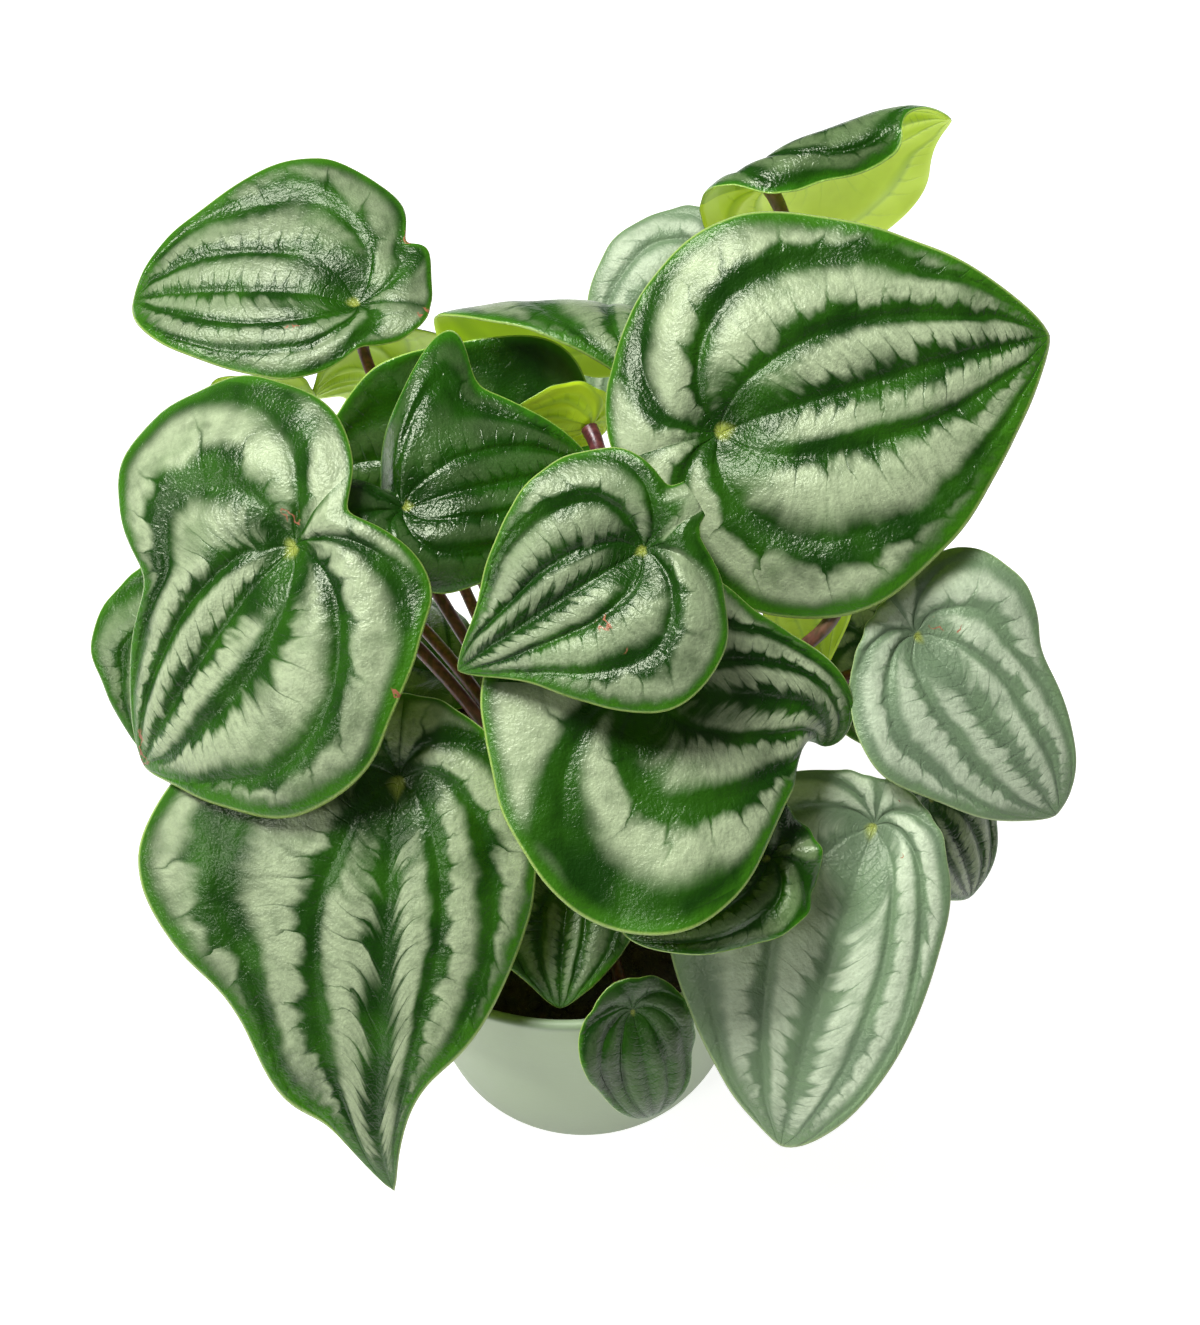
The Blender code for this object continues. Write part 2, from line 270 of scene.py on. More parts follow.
shape = bmesh.new()
for index in range(CRUMBS):
    radius = (soil_radius - CRUMB_INSET) * sqrt((index + 0.5) / CRUMBS)
    around = index * GOLDEN_TURN + chance(index, 1)
    x, y = radius * cos(around), radius * sin(around)
    size = CRUMB_LARGEST * (0.22 + 0.78 * chance(index, 2) ** 3)
    long_side = 1 + 1.3 * chance(index, 3) ** 2
    turn = Matrix.Rotation(tau * chance(index, 4), 4, "Z")
    tip = Matrix.Rotation(chance(index, 5) - 0.5, 4, "X")
    stretch = Matrix.Diagonal((size * long_side / 2, size / 2, size * 0.35, 1))
    spot = Matrix.Translation((x, y, soil_height(x, y) + size * 0.12))
    crumb = bmesh.ops.create_icosphere(shape, subdivisions=2, radius=1)["verts"]
    for vertex in crumb:
        bulge = 1 + CRUMB_LUMPS * noise.noise(vertex.co * 1.7 + Vector((index, 0, 0)))
        vertex.co = spot @ turn @ tip @ stretch @ (vertex.co * bulge)
crumbs = make_piece("soil_crumbs", shape)

peat, tree, shader = new_material("moist_peat", 0.9)
place = add_node(tree, "ShaderNodeTexCoord").outputs["Object"]
clods = speckle(tree, place, 260, 3)
fibres = speckle(tree, place, 1400, 3, 0.6)
colour = mix_colour(tree, fade(tree, clods, 0.35, 0.65), PEAT_DARK, PEAT_LIGHT)
bark = fade(tree, speckle(tree, place, 120, 1), 0.60, 0.66)
colour = mix_colour(tree, calc(tree, "MULTIPLY", bark, 0.6), colour, BARK)
colour = mix_colour(tree, fade(tree, fibres, 0.66, 0.76, 0, 0.5), colour, FIBRE)
tree.links.new(colour, shader.inputs["Base Color"])
tree.links.new(fade(tree, clods, 0.3, 0.7, 0.75, 0.98), shader.inputs["Roughness"])
bump_into(tree, shader, calc(tree, "ADD", clods, fibres), 0.7, 0.8 * MM)
for piece in (soil, crumbs):
    piece.data.materials.append(peat)
    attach(piece, "root")
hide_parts("soil")

# ---------------------------------------------------------------------------
# Crown. The short, knobbly stem base on the soil. It is brown and corky, with
# a low ring scar where each old stalk dropped off.
# ---------------------------------------------------------------------------
KNOBS = 9
KNOB_DEPTH = 0.035
CROWN_STEPS = 72
SHOULDER = 0.14
SKIRT = 0.7
CORK_DARK = (0.022, 0.012, 0.009)
CORK_LIGHT = (0.085, 0.040, 0.026)
crown_low, crown_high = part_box("crown")
crown_radius = crown_high.x
crown_height = crown_high.z - crown_low.z
crown_profile = [(0, crown_high.z)]
crown_profile += [(crown_radius * share, crown_high.z) for share in (0.15, 0.3, 0.45, 0.6, 0.75)]
shoulder = crown_radius * SHOULDER
corner = (crown_radius - shoulder, crown_high.z - shoulder)
crown_profile += arc_points(corner, shoulder, 80, 0, CORNER_STEPS)
crown_profile += [(crown_radius, crown_low.z + crown_height * 0.25)]
crown_profile += [(crown_radius * 0.97, crown_low.z), (0, crown_low.z)]
crown = spin_profile("crown_base", crown_profile, CROWN_STEPS)
for vertex in crown.data.vertices:
    spot = Vector(vertex.co)
    share = hypot(spot.x, spot.y) / crown_radius
    if share > SKIRT:
        knob = sin(KNOBS * atan2(spot.y, spot.x) + 2 * spot.z / MM)
        sink = 1 - KNOB_DEPTH * (1 + knob) - 0.03 * noise.noise(spot / (4 * MM))
        vertex.co = (spot.x * sink, spot.y * sink, spot.z)
    if spot.z > crown_low.z + MM:
        vertex.co.z -= 0.5 * MM * abs(noise.noise(spot / (3 * MM)))

cork, tree, shader = new_material("cork", 0.8)
place = add_node(tree, "ShaderNodeTexCoord").outputs["Object"]
patches = speckle(tree, place, 190, 4, 0.6)
colour = mix_colour(tree, fade(tree, patches, 0.35, 0.65), CORK_DARK, CORK_LIGHT)
tree.links.new(colour, shader.inputs["Base Color"])
tree.links.new(fade(tree, patches, 0.3, 0.7, 0.6, 0.9), shader.inputs["Roughness"])
bump_into(tree, shader, patches, 0.6, 0.8 * MM)
crown.data.materials.append(cork)
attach(crown, "root")
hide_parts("crown")

# ---------------------------------------------------------------------------
# Leaves: the list. Each leaf grows on its own stalk from the crown. Lengths
# are in millimetres and angles in degrees, as for the solid each one replaces.
# ---------------------------------------------------------------------------


@dataclass
class Leaf:
    """One leaf, as it grew."""

    name: str
    at: tuple  # where the stalk meets the blade
    foot: tuple  # ring and place of the stalk's foot on the crown
    size: tuple  # reach from the stalk to the tip, rear, left and right margins
    heading: float  # compass direction of the tip, from +X towards +Y
    pitch: float = 0  # how far the tip is lowered
    roll: float = 0  # how far the left side is raised
    bend: float = 10  # downward curve of the midrib to the tip
    tip_bend: float = 20  # extra downward curve near the tip
    back_bend: float = 10  # downward curve of the rear
    curl: tuple = (-10, -10)  # upward curve of the left and right sides
    sweep: float = 0  # curve of the midrib to the left
    hook: float = 0  # extra curve to the left near the tip
    taper: float = 0.12  # how far the sides are drawn in before the tip
    spike: float = 0.14  # share of the front length that is the pointed tip
    tail: float = 11.5  # angle over which the pointed tip widens
    wave: float = 0.6  # height of the ripples along the margin
    swells: tuple = ()  # direction, spread and size of each bulge or notch
    lifts: tuple = ()  # direction, spread and height of each raised margin
    bow: float = 0.45  # how far the stalk rises before it leans out
    lean: tuple = (0, 0)  # shift of the stalk's upper half along X and Y
    silver: float = 0.8  # strength of the silver bands
    pucker: float = 0.8  # height of the ridges between the veins
    skin: str = "mature"  # mature, hazy or young
    scars: tuple = ()  # direction, share of the reach and size of each brown scar


LEAVES = (
    Leaf("back_left", (-40, 98, 176), (1, 2), (55, 18, 25, 40), 170, -3, -14,
         bend=12, tip_bend=10, curl=(-30, -10), spike=0.05, bow=0.6, lean=(-8, 8),
         swells=((-118, 9, -5), (-8, 25, 2), (105, 40, -6)),
         silver=0.55, scars=((-118, 0.97, 0.1), (172, 0.95, 0.12), (40, 0.5, 0.05))),
    Leaf("left", (-52, 18, 179), (2, 6), (59, 32, 36, 44), -147, 34, -14,
         bend=18, tip_bend=5, back_bend=25, curl=(-20, -20),
         swells=((42, 30, 14), (152, 26, -13), (180, 30, -8), (-40, 22, -11), (-105, 25, 5)),
         silver=0.95, pucker=1.5, scars=((-145, 0.2, 0.09), (81, 0.98, 0.06), (-2, 0.98, 0.08))),
    Leaf("front_left", (-35, -17, 144), (3, 10), (92, 18, 32, 56), -101, 34, 2,
         bend=25, tip_bend=10, curl=(-35, -20), spike=0.3, tail=5, sweep=-8, hook=22,
         swells=((-14, 12, 10),), silver=0.9),
    Leaf("right", (36, 28, 191), (1, 0), (71, 22, 42, 44), 6, -12, 34,
         bend=14, tip_bend=10, curl=(-20, -20), silver=0.95, pucker=1.5),
    Leaf("far_right", (73, -6, 163), (2, 0), (50, 10, 25, 22), -48, 32, 22,
         swells=((115, 30, 6), (40, 25, -6), (-60, 30, 4)), lean=(0, -10),
         silver=0.8, skin="hazy", scars=((80, 0.2, 0.09), (60, 0.32, 0.05))),
    Leaf("front_right", (61, -33, 136), (2, 11), (72, 10, 22, 41), -117, 34, 4,
         curl=(-25, -20), silver=0.9, skin="hazy", scars=((60, 0.4, 0.04), (150, 0.7, 0.04))),
    Leaf("top", (17, -6, 196), (0, 0), (43, 10, 27, 22), -162, 22, -30,
         spike=0.24, tail=9, swells=((-168, 16, 9), (100, 40, 3), (-110, 30, 4)), lean=(0, 26),
         silver=0.65, pucker=1.2, scars=((33, 0.5, 0.07), (48, 0.62, 0.04))),
    Leaf("middle_left", (-28, 26, 180), (1, 3), (43, 13, 27, 21), 14, 4, 24,
         curl=(-10, -50), swells=((62, 10, 12), (105, 24, -10)), lifts=((108, 22, -14),),
         silver=0.1, skin="young", wave=1.4, pucker=0.5),
    Leaf("front", (17, -19, 170), (1, 5), (48, 32, 28, 46), -2, 12, 26,
         bend=20, tip_bend=60, curl=(-30, -10), spike=0.3, tail=14, hook=-110, silver=0.95),
    Leaf("front_young", (38, -43, 144), (2, 10), (33, 10, 15, 17), -162, 10, -30,
         bow=0.8, lean=(-12, 0), silver=0.4, skin="young", wave=2.2),
    # Painted shade: low_front's silver is turned nearly off so that it reads dark, as in shade.
    Leaf("low_front", (10, -56, 104), (3, 14), (32, 10, 13, 14), -77, 63, silver=0.1),
    Leaf("rim_front", (-2, -28, 116), (3, 13), (28, 18, 18, 22), -100, 25, silver=0.35),
    Leaf("low_left", (-82, 32, 136), (3, 9), (34, 20, 24, 24), -125, 40, -10, silver=0.4),
    Leaf("cupped", (-20, 54, 158), (2, 4), (40, 30, 25, 29), 180, 5, -35,
         curl=(25, 20), bow=0.7, swells=((-140, 30, 9),), silver=0.1, skin="young"),
    Leaf("arched", (26, 86, 172), (2, 3), (38, 22, 30, 48), -97, -70,
         bend=110, tip_bend=20, curl=(-20, -20), silver=0.5),
    Leaf("upright_young", (10, 54, 174), (1, 1), (28, 8, 14, 11), -165, 10, 82, skin="young"),
    Leaf("back_pale", (49, 127, 158), (3, 3), (54, 12, 18, 26), -138, 30, -10,
         silver=0.7, skin="hazy"),
    Leaf("back_high", (57, 112, 191), (2, 2), (46, 16, 38, 23), 14, -12, -86,
         tip_bend=50, curl=(0, -150), hook=-30, taper=0, spike=0.2, tail=14,
         swells=((52, 28, 8), (-35, 26, 6)), lean=(6, 2), silver=0.3, skin="young"),
    Leaf("back_left_small", (-70, 103, 142), (3, 7), (20, 14, 16, 16), -170, 20, 70),
    Leaf("back_left_low", (-37, 113, 141), (3, 6), (22, 20, 26, 24), -175, 5, 68, bow=0.3),
    Leaf("hanging", (54, 14, 170), (2, 1), (32, 10, 14, 14), 110, 100, skin="young"),
    Leaf("low_right", (85, -10, 105), (3, 17), (32, 18, 18, 18), -50, 55),
    Leaf("inner_right", (70, 14, 136), (3, 1), (28, 14, 20, 20), -80, 30),
    Leaf("rim_right", (58, -36, 112), (3, 16), (40, 14, 16, 16), -62, 55),
    # Painted shade: inner_left's silver is kept low so that it reads dark among the stalks.
    Leaf("inner_left", (-29, 40, 110), (3, 5), (32, 18, 14, 11), 102, 12, silver=0.2),
    Leaf("rear", (5, 88, 110), (3, 4), (38, 18, 24, 24), 90, 40),
    Leaf("rear_right", (60, 66, 114), (3, 2), (40, 18, 24, 24), 45, 40),
    Leaf("rear_left", (-60, 58, 114), (3, 8), (40, 18, 24, 24), 140, 40),
)

# ---------------------------------------------------------------------------
# Stalks. Round, juicy leaf stalks, dark maroon with a few paler streaks. Each
# thickens at its foot on the crown and flares where it joins its blade.
# ---------------------------------------------------------------------------
FOOT_RING = 5.3 * MM
FOOT_PLACES = 6
STALK_RADIUS = 1.7 * MM
STALK_UPRIGHT = 0.4
STALK_NECK = 3 * MM
STALK_APPROACH = 0.3
STALK_STEPS = 40
STALK_SLIM = 0.86
STALK_SWELL = 0.28
FOOT_FADE = 9
TOP_FADE = 14
NAVEL_DEPTH = 3 * MM
CAD_BLADE = 1.1 * MM  # thickness of the solid blade that the stalk stops under
SEAT = 0.3 * MM
MAROON_DARK = (0.045, 0.009, 0.014)
MAROON_LIGHT = (0.135, 0.030, 0.034)
STALK_GREEN = (0.13, 0.12, 0.035)


def turn_matrix(leaf):
    """Turn from the leaf's own axes (tip +X, left +Y, face +Z) to the plant's."""
    heading = Matrix.Rotation(radians(leaf.heading), 3, "Z")
    pitch = Matrix.Rotation(radians(leaf.pitch), 3, "Y")
    roll = Matrix.Rotation(radians(leaf.roll), 3, "X")
    return heading @ pitch @ roll


def stalk_route(leaf):
    """Points of the stalk: up from the crown, leaning out, to the blade from below."""
    ring, place = leaf.foot
    angle = tau * place / (FOOT_PLACES * max(ring, 1))
    radius = FOOT_RING * ring
    start = Vector((radius * cos(angle), radius * sin(angle), crown_high.z + SEAT))
    face = turn_matrix(leaf) @ Vector((0, 0, 1))
    end = Vector(leaf.at) * MM - face * (NAVEL_DEPTH + CAD_BLADE + SEAT)
    length = (end - start).length
    arrival = (face + Vector((0, 0, STALK_UPRIGHT))).normalized()
    above = start + Vector((0, 0, STALK_NECK))
    below = end - face * STALK_NECK
    rise = above + Vector((0, 0, length * leaf.bow))
    lean = Vector((*leaf.lean, 0)) * MM
    approach = below - arrival * length * STALK_APPROACH + lean
    route = [start]
    for index in range(STALK_STEPS + 1):
        t = index / STALK_STEPS
        route.append(above * (1 - t) ** 3 + rise * 3 * t * (1 - t) ** 2
                     + approach * 3 * t * t * (1 - t) + below * t ** 3)
    route.append(end)
    return route


maroon, tree, shader = new_material("maroon_stalk", 0.35)
place = add_node(tree, "ShaderNodeTexCoord").outputs["Object"]
drawn_out = add_node(tree, "ShaderNodeMapping", place)
drawn_out.inputs["Scale"].default_value = (1, 1, 0.12)
streak = speckle(tree, drawn_out.outputs[0], 900)
flush = speckle(tree, place, 40)
colour = mix_colour(tree, fade(tree, streak, 0.35, 0.7), MAROON_DARK, MAROON_LIGHT)
colour = mix_colour(tree, fade(tree, flush, 0.52, 0.72, 0, 0.45), colour, STALK_GREEN)
tree.links.new(colour, shader.inputs["Base Color"])
tree.links.new(fade(tree, streak, 0.3, 0.7, 0.28, 0.45), shader.inputs["Roughness"])
bump_into(tree, shader, streak, 0.2, 0.3 * MM)

for leaf in LEAVES:
    route = stalk_route(leaf)
    curve = bpy.data.curves.new(f"stalk_{leaf.name}_skin", "CURVE")
    curve.dimensions = "3D"
    curve.bevel_depth = STALK_RADIUS
    curve.bevel_resolution = 4
    curve.use_fill_caps = True
    spline = curve.splines.new("POLY")
    spline.points.add(len(route) - 1)
    for index, (point, spot) in enumerate(zip(spline.points, route)):
        share = index / (len(route) - 1)
        point.co = (*spot, 1)
        swell = exp(-share * FOOT_FADE) + exp(-(1 - share) * TOP_FADE)
        point.radius = STALK_SLIM + STALK_SWELL * swell
    spline.use_smooth = True
    curve.materials.append(maroon)
    stalk = bpy.data.objects.new(f"stalk_{leaf.name}_skin", curve)
    bpy.context.scene.collection.objects.link(stalk)
    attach(stalk, "root")
    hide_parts(f"stalk_{leaf.name}")

# ---------------------------------------------------------------------------
# Blades: the shape. Each is a thick, waxy plate with a rounded margin. The
# veins lie in shallow grooves and the silver bands swell up between them.
# ---------------------------------------------------------------------------
BLADE_THICKNESS = 0.9 * MM
RIM_WIDTH = 1.3 * MM
RIM_LEAST = 0.02
BLADE_CELLS = 100
SMALL_BLADE_CELLS = 60
SMALL_BLADE_LENGTH = 42  # in millimetres, like the list's sizes
ROW_SPREAD = 1.25  # crowds the rows of cells towards the margin
TIP_POWER = 1.3
TIP_BEND_START = 0.6
TIP_BEND_POWER = 1.5
FOLD = radians(8)  # upward tilt of both halves from the midrib
FOLD_FADE = 0.25
NAVEL_WIDTH = 7 * MM
MIDRIB_STEPS = 120
MIDRIB_MARGIN = 1.3
WAVES = 5
MARGIN_WANDER = 0.9 * MM
DENT_HEIGHT = 0.9 * MM
DENT_WIDTH = 12 * MM
PUCKER_POWER = 0.8
PUCKER_START = 0.08
PUCKER_INNER = 0.35
PUCKER_OUTER = 0.3
SEED_STEP = 3.7
VEIN_SPREAD = 1.6  # how strongly the veins close in on the tip
VEIN_PLACES = (0, 60, 125, 161, 184)  # flow of the midrib and of each vein, in degrees


def bump(around, direction, spread):
    """1 in one direction round the stalk, fading to 0 away from it."""
    away = (around - radians(direction) + pi) % tau - pi
    return exp(-((away / radians(spread)) ** 2))


def margin_reach(leaf, around):
    """Distance from the stalk to the margin: an off-centre oval with a pointed tip."""
    front, back, left, right = (side * MM for side in leaf.size)
    oval_front = front * (1 - leaf.spike)
    length = (oval_front + back) / 2
    centre = (oval_front - back) / 2
    width = left if around >= 0 else right
    along, across = cos(around), sin(around)
    a = (along / length) ** 2 + (across / width) ** 2
    b = -2 * centre * along / length ** 2
    c = (centre / length) ** 2 - 1
    reach = (-b + sqrt(b * b - 4 * a * c)) / (2 * a)
    if along > 0:
        reach *= 1 - leaf.taper * sin(2 * around) ** 2 * along
    reach += front * leaf.spike * exp(-((abs(around) / radians(leaf.tail)) ** TIP_POWER))
    for direction, spread, size in leaf.swells:
        reach += size * MM * bump(around, direction, spread)
    return reach + MARGIN_WANDER * noise.noise(Vector((3 * along, 3 * across, leaf.heading)))


def midrib_frame(leaf, x):
    """Turn of the blade at a distance along the midrib, negative to the rear."""
    front, back = leaf.size[0] * MM, leaf.size[1] * MM
    if x < 0:
        return Matrix.Rotation(-radians(leaf.back_bend) * min(-x / back, 1), 3, "Y")
    share = min(x / front, 1)
    near_tip = max(0, (share - TIP_BEND_START) / (1 - TIP_BEND_START))
    drop = radians(leaf.bend) * share + radians(leaf.tip_bend) * near_tip ** TIP_BEND_POWER
    sweep = radians(leaf.sweep) * share ** TIP_BEND_POWER
    sweep += radians(leaf.hook) * near_tip ** TIP_BEND_POWER
    return Matrix.Rotation(sweep, 3, "Z") @ Matrix.Rotation(drop, 3, "Y")


def midrib_points(leaf):
    """Places along the midrib, evenly spaced, from the rear past the tip."""
    start = -MIDRIB_MARGIN * leaf.size[1] * MM
    step = (MIDRIB_MARGIN * leaf.size[0] * MM - start) / MIDRIB_STEPS
    places = [Vector()]
    for index in range(MIDRIB_STEPS):
        frame_here = midrib_frame(leaf, start + (index + 0.5) * step)
        places.append(places[-1] + frame_here @ Vector((step, 0, 0)))
    at_stalk = -start / step
    whole = int(at_stalk)
    origin = places[whole].lerp(places[whole + 1], at_stalk - whole)
    return start, step, [place - origin for place in places]


def midrib_point(midrib, x):
    """Place on the midrib at a distance along it."""
    start, step, places = midrib
    along = min(max((x - start) / step, 0), MIDRIB_STEPS - 0.001)
    whole = int(along)
    return places[whole].lerp(places[whole + 1], along - whole)


def side_arc(tilt, curl, distance):
    """Offset across and up of an arc that starts at a tilt and turns by curl."""
    if abs(curl) < radians(0.1):
        return distance * cos(tilt), distance * sin(tilt)
    across = distance * (sin(tilt + curl) - sin(tilt)) / curl
    up = distance * (cos(tilt) - cos(tilt + curl)) / curl
    return across, up


def vein_count(x, y):
    """Number of veins between the midrib and a point of the unit disc.

    Veins leave the stalk evenly, bow outwards and close in on the tip at (1, 0).
    """
    flow = abs(atan2(y, x) + VEIN_SPREAD * atan2(y, max(1 - x, 0.001))) * 180 / pi
    return sum(min(max((flow - start) / (end - start), 0), 1)
               for start, end in zip(VEIN_PLACES, VEIN_PLACES[1:]))


def pucker_height(around, share):
    """Swell of the bands between the veins, from 0 in a vein to 1 on a band."""
    count = vein_count(share * cos(around), share * sin(around))
    swell = abs(sin(pi * count)) ** PUCKER_POWER
    inner = min(max((share - PUCKER_START) / PUCKER_INNER, 0), 1)
    outer = min(max((1 - share) / PUCKER_OUTER, 0), 1)
    return swell * inner * outer


def blade_point(leaf, midrib, turn, around, share):
    """Point of the blade's upper face: direction round the stalk, share of the reach."""
    reach = margin_reach(leaf, around)
    x = share * reach * cos(around)
    y = share * reach * sin(around)
    front, _, left, right = (side * MM for side in leaf.size)
    width = left if y >= 0 else right
    side_curl = leaf.curl[0] if y >= 0 else leaf.curl[1]
    ease = min(max((x / front + FOLD_FADE) / (2 * FOLD_FADE), 0), 1)
    tilt = FOLD * ease * ease * (3 - 2 * ease)
    curl = radians(side_curl) * abs(y) / width
    across, up = side_arc(tilt, curl, abs(y))
    up += leaf.wave * MM * share ** 3 * sin(WAVES * around)
    up -= NAVEL_DEPTH * exp(-((hypot(x, y) / NAVEL_WIDTH) ** 2))
    for direction, spread, height in leaf.lifts:
        up += height * MM * bump(around, direction, spread) * share ** 2
    up += leaf.pucker * MM * pucker_height(around, share)
    spot = Vector((x, y, 0)) + Vector(leaf.at) * MM
    up += DENT_HEIGHT * noise.noise(spot / DENT_WIDTH) * share
    up -= BLADE_THICKNESS / 2 * (1 - rim_fullness(reach, share))
    offset = Vector((0, across if y >= 0 else -across, up))
    local = midrib_point(midrib, x) + midrib_frame(leaf, x) @ offset
    return Vector(leaf.at) * MM + turn @ local


def rim_fullness(reach, share):
    """Share of the full thickness, rounded off to the margin."""
    inset = min((1 - share) * reach / RIM_WIDTH, 1)
    return sqrt(max(1 - (1 - inset) ** 2, RIM_LEAST))


def scar_depth(leaf, around, share):
    """1 in the middle of a scar, 0 from its edge outwards."""
    depth = 0
    for direction, centre, size in leaf.scars:
        away = hypot(share * cos(around) - centre * cos(radians(direction)),
                     share * sin(around) - centre * sin(radians(direction)))
        depth = max(depth, 1 - away / size)
    return depth


def add_blade(leaf, number, upper, under):
    """Make a leaf's blade: a disc of cells, shaped, thickened and skinned."""
    cells = BLADE_CELLS if leaf.size[0] >= SMALL_BLADE_LENGTH else SMALL_BLADE_CELLS
    midrib = midrib_points(leaf)
    turn = turn_matrix(leaf)
    shape = bmesh.new()
    bmesh.ops.create_grid(shape, x_segments=cells, y_segments=cells, size=1)
    disc = shape.loops.layers.uv.new("disc")
    weights = shape.verts.layers.deform.new()
    scar_depths = []
    for vertex in shape.verts:
        around, share = disc_place(vertex.co.x, vertex.co.y)
        share = 1 - (1 - share) ** ROW_SPREAD
        place = (0.5 + 0.5 * share * cos(around), 0.5 + 0.5 * share * sin(around))
        for loop in vertex.link_loops:
            loop[disc].uv = place
        vertex[weights][0] = rim_fullness(margin_reach(leaf, around), share)
        vertex.co = blade_point(leaf, midrib, turn, around, share)
        scar_depths.append(scar_depth(leaf, around, share))
    blade = make_piece(f"blade_{leaf.name}_skin", shape)
    trait = blade.data.attributes.new("trait", "FLOAT_VECTOR", "POINT")
    for item, scar in zip(trait.data, scar_depths):
        item.vector = (number * SEED_STEP, leaf.silver, scar)
    blade.data.materials.append(upper)
    blade.data.materials.append(under)
    blade.vertex_groups.new(name="fullness")
    wall = blade.modifiers.new("thickness", "SOLIDIFY")
    wall.thickness = BLADE_THICKNESS
    wall.offset = -1
    wall.vertex_group = "fullness"
    wall.material_offset = 1
    wall.material_offset_rim = 0
    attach(blade, "root")
    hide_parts(f"blade_{leaf.name}")


# ---------------------------------------------------------------------------
# Blades: the skin. Silver bands lie between dark green veins that run from the
# stalk to the tip, with feathered edges, and a bright margin rings the blade.
# ---------------------------------------------------------------------------
LANE_BY_SIDE = 5.3  # the two sides and the bands of a blade take noise from places
LANE_BY_BAND = 2.7  # this far apart, so no two look alike
CROSS_VEINS = 3.0
CROSS_SLANT = -0.45
INNER_EDGE = 0.23  # share of a band's width that stays green on the side of the midrib
OUTER_EDGE = 0.19  # and on the side of the margin
MIDDLE_SHIFT = (-0.05, 0.04)  # change of both in the two bands along the midrib
BASE_FADE = (0.15, 0.40)
MARGIN_FADE = (0.87, 0.97)
PALE_HAZE = (0.36, 0.43, 0.31)
NAVEL_YELLOW = (0.26, 0.31, 0.05)
SCAB_BROWN = (0.24, 0.09, 0.05)
SHEEN_TINT = (0.92, 1.0, 0.78, 1)
SHEEN_LEVEL = 0.36


